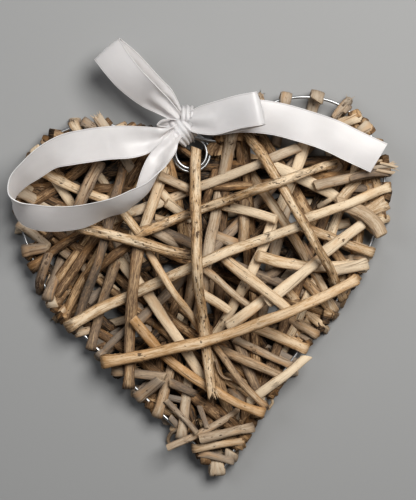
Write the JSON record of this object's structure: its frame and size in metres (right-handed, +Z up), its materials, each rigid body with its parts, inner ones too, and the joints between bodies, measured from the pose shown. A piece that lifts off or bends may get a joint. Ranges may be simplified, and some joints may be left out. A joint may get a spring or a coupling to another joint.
{
  "type": "woven twig wall hanging",
  "caption": "Heart-shaped wall hanging of split willow twigs woven over a wire heart, with a wire eye at the cleft and a satin ribbon tied in a bow and a long loop to hang it by.",
  "frame": {"origin": "on the flat underside of the back twig that crosses the middle of the heart, where the heart rests when it lies on its back", "axes": "+Z up, off the woven front; +Y from the tip of the heart to its cleft; +X to the right of someone who looks at the front"},
  "size_m": [0.1752, 0.1971, 0.0407],
  "materials": {
    "willow": "split willow, dry and matt, with flecks of bark",
    "back_willow": "split willow, darker, dry and matt",
    "zinc_wire": "galvanised, dull with bright edges",
    "white_satin": "satin weave with a soft sheen"
  },
  "bodies": {
    "root": {"back_twig_01": "back_willow", "back_twig_02": "back_willow", "back_twig_03": "back_willow", "back_twig_04": "back_willow", "back_twig_05": "back_willow", "back_twig_06": "back_willow", "back_twig_07": "back_willow", "back_twig_08": "back_willow", "front_twig_01": "willow", "front_twig_02": "willow", "front_twig_03": "willow", "front_twig_04": "willow", "front_twig_05": "willow", "front_twig_06": "willow", "front_twig_07": "willow", "front_twig_08": "willow", "front_twig_09": "willow", "front_twig_10": "willow", "front_twig_11": "willow", "front_twig_12": "willow", "front_twig_13": "willow", "front_twig_14": "willow", "front_twig_15": "willow", "front_twig_16": "willow", "front_twig_17": "willow", "front_twig_18": "willow", "front_twig_19": "willow", "front_twig_20": "willow", "front_twig_21": "willow", "front_twig_22": "willow", "front_twig_23": "willow", "front_twig_24": "willow", "front_twig_25": "willow", "front_twig_26": "willow", "front_twig_27": "willow", "front_twig_28": "willow", "front_twig_29": "willow", "front_twig_30": "willow", "front_twig_31": "willow", "front_twig_32": "willow", "front_twig_33": "willow", "front_twig_34": "willow", "front_twig_35": "willow", "front_twig_36": "willow", "front_twig_37": "willow", "front_twig_38": "willow", "front_twig_39": "willow", "front_twig_40": "willow", "front_twig_41": "willow", "front_twig_42": "willow", "front_twig_43": "willow", "front_twig_44": "willow", "front_twig_45": "willow", "front_twig_46": "willow", "front_twig_47": "willow", "front_twig_48": "willow", "wire_frame": "zinc_wire", "ribbon": "white_satin"}
  },
  "joints": []
}
